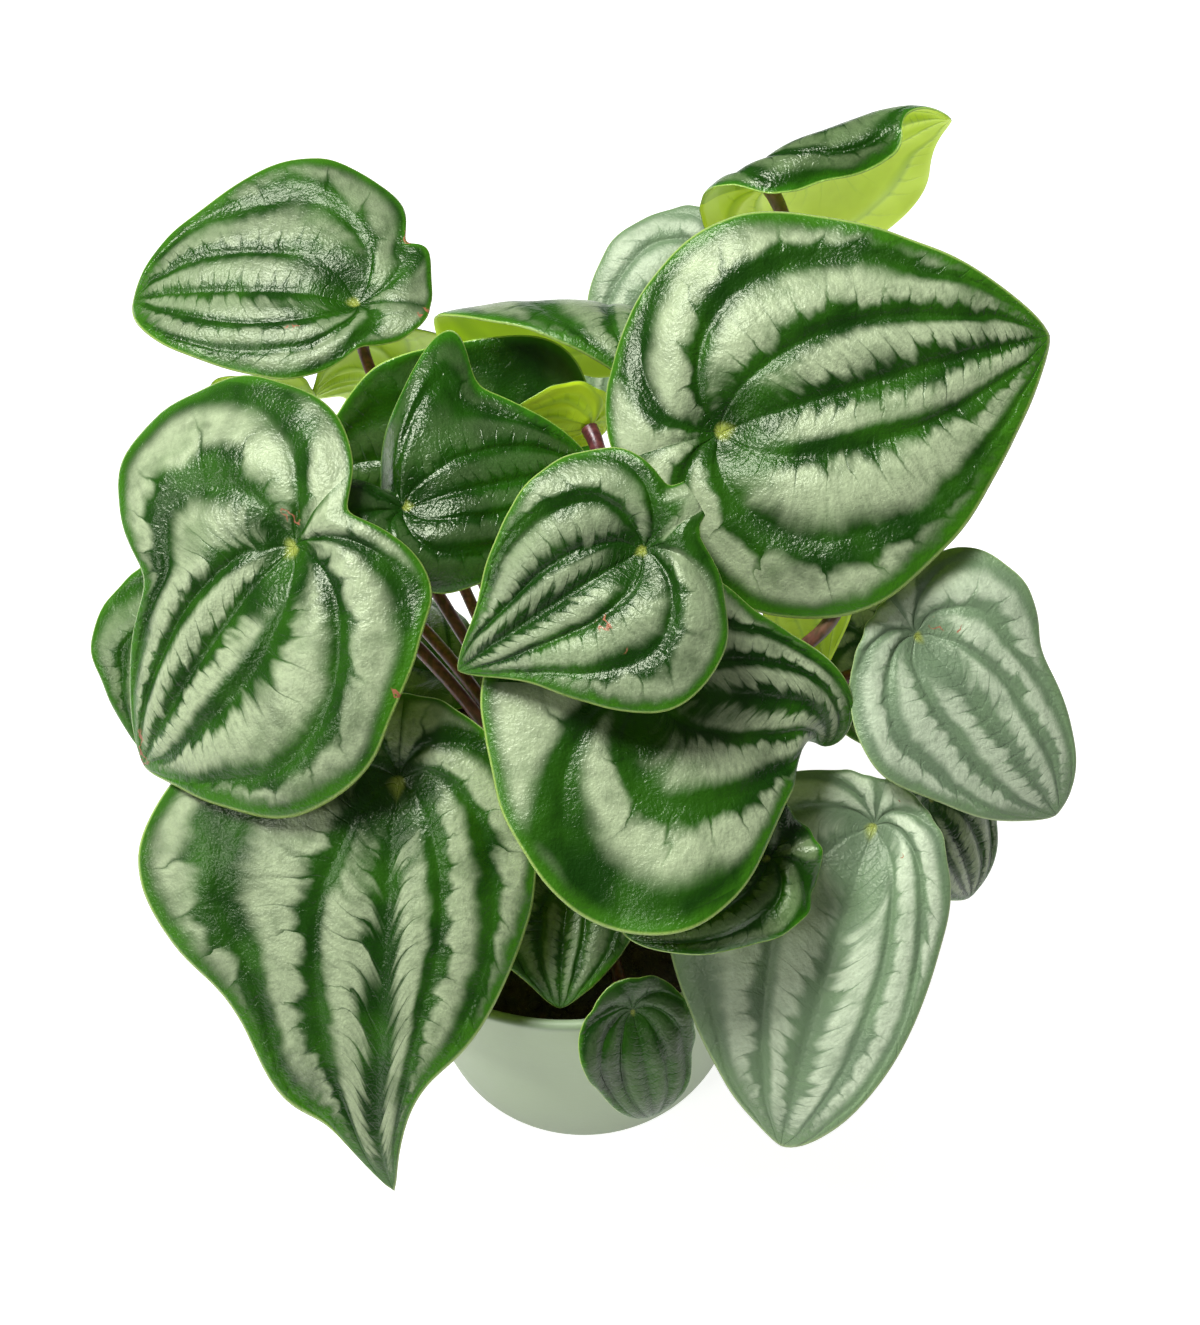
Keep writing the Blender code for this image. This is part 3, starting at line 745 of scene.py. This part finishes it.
def make_vein_group():
    """Masks of the blade's markings, from its place on the unit disc."""
    group = bpy.data.node_groups.new("leaf_markings", "ShaderNodeTree")
    for name, kind in (("Disc", "NodeSocketVector"), ("Seed", "NodeSocketFloat")):
        group.interface.new_socket(name, in_out="INPUT", socket_type=kind)
    for name in ("Band", "Notch", "Rim", "Border", "Navel", "Grooves", "Streaks"):
        group.interface.new_socket(name, in_out="OUTPUT", socket_type="NodeSocketFloat")
    source = group.nodes.new("NodeGroupInput").outputs
    result = group.nodes.new("NodeGroupOutput").inputs

    def sums(operation, *inputs):
        """Result of one sum in the group."""
        return calc(group, operation, *inputs)

    split = add_node(group, "ShaderNodeSeparateXYZ", source["Disc"])
    x = sums("MULTIPLY_ADD", split.outputs[0], 2.0, -1.0)
    y = sums("MULTIPLY_ADD", split.outputs[1], 2.0, -1.0)
    side = sums("MULTIPLY", sums("SIGN", y), LANE_BY_SIDE)
    lane = sums("ADD", source["Seed"], side)
    reach = sums("SQRT", sums("ADD", sums("MULTIPLY", x, x), sums("MULTIPLY", y, y)))
    ahead = sums("SUBTRACT", 1.001, x)
    to_tip = sums("SQRT", sums("ADD", sums("MULTIPLY", ahead, ahead), sums("MULTIPLY", y, y)))
    turned = sums("MULTIPLY", sums("ARCTAN2", y, ahead), VEIN_SPREAD)
    angle = sums("ADD", sums("ARCTAN2", y, x), turned)
    flow = sums("MULTIPLY", sums("ABSOLUTE", angle), 180 / pi)
    from_stalk = sums("LOGARITHM", sums("MAXIMUM", reach, 0.001), e)
    from_tip = sums("LOGARITHM", sums("MAXIMUM", to_tip, 0.001), e)
    run = sums("SUBTRACT", from_stalk, sums("MULTIPLY", from_tip, VEIN_SPREAD))
    wander = add_node(group, "ShaderNodeCombineXYZ", sums("MULTIPLY", run, 0.5),
                      sums("MULTIPLY", flow, 0.012), lane).outputs[0]
    drift = sums("SUBTRACT", speckle(group, wander, 1.0, 1), 0.5)
    flow = sums("MULTIPLY_ADD", drift, sums("MINIMUM", flow, 45.0), flow)
    count = None
    for start, end in zip(VEIN_PLACES, VEIN_PLACES[1:]):
        passed = add_node(group, "ShaderNodeMapRange", flow, float(start), float(end)).outputs[0]
        count = passed if count is None else sums("ADD", count, passed)
    whole = sums("FLOOR", count)
    part = sums("SUBTRACT", count, whole)
    lane = sums("MULTIPLY_ADD", whole, LANE_BY_BAND, lane)

    def along_band(run_scale, part_scale):
        """Place in a band, stretched along it and across it."""
        return add_node(group, "ShaderNodeCombineXYZ", sums("MULTIPLY", run, run_scale),
                        sums("MULTIPLY", part, part_scale), lane).outputs[0]

    feather = sums("SUBTRACT", speckle(group, along_band(4.2, 1.3), 1.0, 3, 0.55), 0.5)
    streaks = speckle(group, along_band(13.0, 4.0), 1.0, 3, 0.6)

    steps = sums("ADD", sums("MULTIPLY", run, CROSS_VEINS), sums("MULTIPLY", part, CROSS_SLANT))
    shift = sums("ADD", sums("MULTIPLY", lane, 0.37), sums("MULTIPLY", feather, 0.9))
    steps = sums("ADD", steps, shift)
    cell = sums("ABSOLUTE", sums("SUBTRACT", sums("FRACT", steps), 0.5))
    luck = add_node(group, "ShaderNodeCombineXYZ", sums("FLOOR", steps), lane, 0.0).outputs[0]
    length = speckle(group, luck, 0.73, 0)
    scallop = sums("MULTIPLY", sums("MULTIPLY", cell, cell), 0.35)
    uneven = sums("MULTIPLY_ADD", sums("SUBTRACT", length, 0.5), 0.45, scallop)

    middle = sums("LESS_THAN", count, 1.0)
    inner_edge = sums("ADD", sums("MULTIPLY_ADD", middle, MIDDLE_SHIFT[0], INNER_EDGE), uneven)
    outer_edge = sums("MULTIPLY_ADD", middle, MIDDLE_SHIFT[1], OUTER_EDGE)
    ragged = sums("MULTIPLY_ADD", feather, 0.45, part)
    other = sums("MULTIPLY_ADD", feather, 0.25, sums("SUBTRACT", 1.0, part))
    from_inner = fade(group, sums("SUBTRACT", ragged, inner_edge), -0.08, 0.14)
    from_outer = fade(group, sums("SUBTRACT", other, outer_edge), -0.10, 0.14)
    band = sums("MULTIPLY", from_inner, from_outer)
    base = sums("MULTIPLY_ADD", feather, 0.30, sums("MULTIPLY_ADD", drift, 0.5, reach))
    band = sums("MULTIPLY", band, fade(group, base, *BASE_FADE))
    outward = sums("MULTIPLY_ADD", feather, 0.14, reach)
    band = sums("MULTIPLY", band, fade(group, outward, *MARGIN_FADE, 1.0, 0.0))

    opening = sums("POWER", sums("SUBTRACT", 1.0, part), 3.0)
    thin = sums("MULTIPLY_ADD", opening, 0.10, 0.008)
    from_notch = sums("SUBTRACT", sums("SUBTRACT", 0.5, cell), thin)
    ladder = fade(group, from_notch, -0.03, 0.06, 1.0, 0.0)
    past_end = sums("SUBTRACT", part, length)
    notch = sums("MULTIPLY", ladder, fade(group, past_end, -0.25, 0.25, 1.0, 0.0))

    group.links.new(band, result["Band"])
    group.links.new(notch, result["Notch"])
    group.links.new(fade(group, reach, 0.982, 0.996), result["Rim"])
    group.links.new(fade(group, outward, 0.90, 1.0), result["Border"])
    group.links.new(fade(group, reach, 0.012, 0.06, 1.0, 0.0), result["Navel"])
    valley = sums("MINIMUM", part, sums("SUBTRACT", 1.0, part))
    grooves = fade(group, valley, 0.0, 0.16)
    group.links.new(sums("SUBTRACT", grooves, sums("MULTIPLY", notch, 0.5)), result["Grooves"])
    group.links.new(streaks, result["Streaks"])
    return group


markings = make_vein_group()


def marked_material(name, roughness):
    """Material of a blade, with its place, its traits and its markings."""
    material, tree, shader = new_material(name, roughness)
    disc = add_node(tree, "ShaderNodeUVMap", uv_map="disc").outputs[0]
    place = add_node(tree, "ShaderNodeTexCoord").outputs["Object"]
    trait = add_node(tree, "ShaderNodeAttribute", attribute_name="trait").outputs["Vector"]
    trait = add_node(tree, "ShaderNodeSeparateXYZ", trait).outputs
    marks = tree.nodes.new("ShaderNodeGroup")
    marks.node_tree = markings
    tree.links.new(disc, marks.inputs["Disc"])
    tree.links.new(trait[0], marks.inputs["Seed"])
    return material, tree, shader, place, trait, marks.outputs


def darker(colour, share):
    """A colour with its light cut to a share."""
    return tuple(part * share for part in colour)


def make_upper_skin(name, dark, deep, silver, border, rim, gloss, haze):
    """Upper face of a blade: colours of its veins, bands, border and margin."""
    material, tree, shader, place, trait, marks = marked_material(name, gloss)
    clouds = speckle(tree, place, 70, 3)
    cells = speckle(tree, place, 1700)
    quilt = speckle(tree, place, 380)
    green = mix_colour(tree, fade(tree, clouds, 0.35, 0.68), dark, deep)
    green = mix_colour(tree, marks["Border"], green, border)
    streaked = fade(tree, marks["Streaks"], 0.3, 0.7)
    shine = mix_colour(tree, streaked, darker(silver, 0.78), silver)
    # Fine grain in the silver: partly the leaf's own grain, partly painted sparkle.
    shine = mix_colour(tree, fade(tree, cells, 0.35, 0.7, 0, 0.3), shine, darker(silver, 0.6))

    share = calc(tree, "MULTIPLY", marks["Band"], trait[1])
    worn = speckle(tree, place, 110, 3)
    for cover in (
        fade(tree, marks["Streaks"], 0.15, 0.5, 0.7, 1.0),
        fade(tree, worn, 0.30, 0.52, 0.6, 1.0),
        calc(tree, "SUBTRACT", 1.0, calc(tree, "MULTIPLY", marks["Notch"], 0.85)),
    ):
        share = calc(tree, "MULTIPLY", share, cover)
    colour = mix_colour(tree, share, green, shine)
    # Hazy leaves get an even pale grey-green laid over the whole upper face.
    colour = mix_colour(tree, haze, colour, PALE_HAZE)
    colour = mix_colour(tree, marks["Rim"], colour, rim)
    colour = mix_colour(tree, calc(tree, "MULTIPLY", marks["Navel"], 0.85), colour, NAVEL_YELLOW)
    crack = calc(tree, "SUBTRACT", speckle(tree, place, 260, 2, 0.6), 0.5)
    crack = fade(tree, calc(tree, "ABSOLUTE", crack), 0.012, 0.035, 1.0, 0.0)
    scab = calc(tree, "MULTIPLY", crack, fade(tree, trait[2], 0.05, 0.4))
    colour = mix_colour(tree, scab, colour, SCAB_BROWN)
    tree.links.new(colour, shader.inputs["Base Color"])

    rough = calc(tree, "MULTIPLY_ADD", share, 0.08, gloss)
    rough = calc(tree, "MULTIPLY_ADD", clouds, 0.16, calc(tree, "SUBTRACT", rough, 0.06))
    tree.links.new(rough, shader.inputs["Roughness"])
    shader.inputs["Specular IOR Level"].default_value = SHEEN_LEVEL
    shader.inputs["Specular Tint"].default_value = SHEEN_TINT
    relief = calc(tree, "MULTIPLY", marks["Grooves"], 0.4)
    relief = calc(tree, "MULTIPLY_ADD", cells, 0.45, relief)
    relief = calc(tree, "MULTIPLY_ADD", quilt, 0.8, relief)
    bump_into(tree, shader, relief, 0.8, 0.45 * MM)
    return material


def make_under_skin(name, pale, deep):
    """Underside of a blade: pale, with the veins a little darker."""
    material, tree, shader, place, _, marks = marked_material(name, 0.5)
    clouds = speckle(tree, place, 60, 3)
    colour = mix_colour(tree, fade(tree, clouds, 0.3, 0.7), pale, darker(pale, 0.8))
    veins = calc(tree, "SUBTRACT", 1.0, marks["Grooves"])
    colour = mix_colour(tree, calc(tree, "MULTIPLY", veins, 0.7), colour, deep)
    tree.links.new(colour, shader.inputs["Base Color"])
    tree.links.new(fade(tree, clouds, 0.3, 0.7, 0.42, 0.58), shader.inputs["Roughness"])
    relief = calc(tree, "SUBTRACT", clouds, marks["Grooves"])
    bump_into(tree, shader, relief, 0.3, 0.3 * MM)
    return material


skins = {
    "mature": (
        make_upper_skin("mature_upper", dark=(0.004, 0.027, 0.001), deep=(0.014, 0.066, 0.002),
                        silver=(0.310, 0.375, 0.220), border=(0.028, 0.115, 0.004),
                        rim=(0.24, 0.35, 0.08), gloss=0.27, haze=0.0),
        make_under_skin("mature_under", pale=(0.50, 0.72, 0.02), deep=(0.30, 0.48, 0.02)),
    ),
    "hazy": (
        make_upper_skin("hazy_upper", dark=(0.020, 0.062, 0.016), deep=(0.034, 0.094, 0.022),
                        silver=(0.44, 0.51, 0.36), border=(0.040, 0.112, 0.018),
                        rim=(0.24, 0.33, 0.13), gloss=0.36, haze=0.24),
        make_under_skin("hazy_under", pale=(0.44, 0.62, 0.10), deep=(0.28, 0.44, 0.06)),
    ),
    "young": (
        make_upper_skin("young_upper", dark=(0.004, 0.025, 0.001), deep=(0.009, 0.052, 0.001),
                        silver=(0.28, 0.38, 0.18), border=(0.022, 0.110, 0.003),
                        rim=(0.24, 0.38, 0.07), gloss=0.22, haze=0.0),
        make_under_skin("young_under", pale=(0.64, 0.87, 0.02), deep=(0.36, 0.56, 0.02)),
    ),
}
for number, leaf in enumerate(LEAVES):
    add_blade(leaf, number, *skins[leaf.skin])

# ---------------------------------------------------------------------------
# Studio. A seamless white floor that reaches past the view, a small soft light
# overhead, a weaker one at the front left, broad daylight and a pale room.
# ---------------------------------------------------------------------------
FLOOR_SIZE = 6
FLOOR_CELLS = 8
FLOOR_GREY = (0.5, 0.5, 0.5, 1)
FLOOR_GLOW = 0.85
WHITE = (1, 1, 1, 1)
PLANT_MIDDLE = (0, 0, 0.14)
DAYLIGHT_POWER = 1.45
DAYLIGHT_SPREAD = radians(40)
DAYLIGHT_TURN = (radians(-22), radians(-14), 0)
ROOM_LIGHT = 0.10
LENS_LENGTH = 40
SENSOR_WIDTH = 36
CAMERA_PLACE = Vector((0, -0.1846, 0.3959))
CAMERA_LOOK = Vector((0.0285, 0.6082, -0.7933))
CAMERA_TOP = Vector((0.0861, 0.7892, 0.6081))
shape = bmesh.new()
bmesh.ops.create_grid(shape, x_segments=FLOOR_CELLS, y_segments=FLOOR_CELLS, size=FLOOR_SIZE / 2)
floor = make_piece("floor", shape)
paper, tree, shader = new_material("white_paper", 0.8)
shader.inputs["Base Color"].default_value = FLOOR_GREY
shader.inputs["Emission Color"].default_value = WHITE
shader.inputs["Emission Strength"].default_value = FLOOR_GLOW
floor.data.materials.append(paper)


def add_light(name, kind, power):
    """Add a light of a kind and a power, to be placed."""
    lamp = bpy.data.lights.new(name, kind)
    lamp.energy = power
    light = bpy.data.objects.new(name, lamp)
    bpy.context.scene.collection.objects.link(light)
    return light


def add_soft_box(name, place, size, power):
    """Add a square light at a place, facing the plant."""
    light = add_light(name, "AREA", power)
    light.data.shape = "SQUARE"
    light.data.size = size
    light.location = place
    direction = Vector(PLANT_MIDDLE) - Vector(place)
    light.rotation_euler = direction.to_track_quat("-Z", "Y").to_euler()


add_soft_box("overhead", (-0.30, 0.10, 1.02), 0.32, 14)
add_soft_box("front_left", (-0.80, -0.50, 0.80), 0.30, 4)
daylight = add_light("daylight", "SUN", DAYLIGHT_POWER)
daylight.data.angle = DAYLIGHT_SPREAD
daylight.rotation_euler = DAYLIGHT_TURN
daylight.visible_glossy = False  # its reflection would lie over the dark greens as a veil

room = bpy.data.worlds.new("white_room")
room.use_nodes = True
background = room.node_tree.nodes["Background"]
background.inputs["Color"].default_value = WHITE
background.inputs["Strength"].default_value = ROOM_LIGHT
bpy.context.scene.world = room

lens = bpy.data.cameras.new("camera")
lens.lens = LENS_LENGTH
lens.sensor_width = SENSOR_WIDTH
camera = bpy.data.objects.new("camera", lens)
look = CAMERA_LOOK.normalized()
right = look.cross(CAMERA_TOP).normalized()
turn = Matrix((right, right.cross(look), -look)).transposed().to_4x4()
camera.matrix_world = Matrix.Translation(CAMERA_PLACE) @ turn
bpy.context.scene.collection.objects.link(camera)
bpy.context.scene.camera = camera
bpy.context.scene.view_settings.view_transform = "Standard"
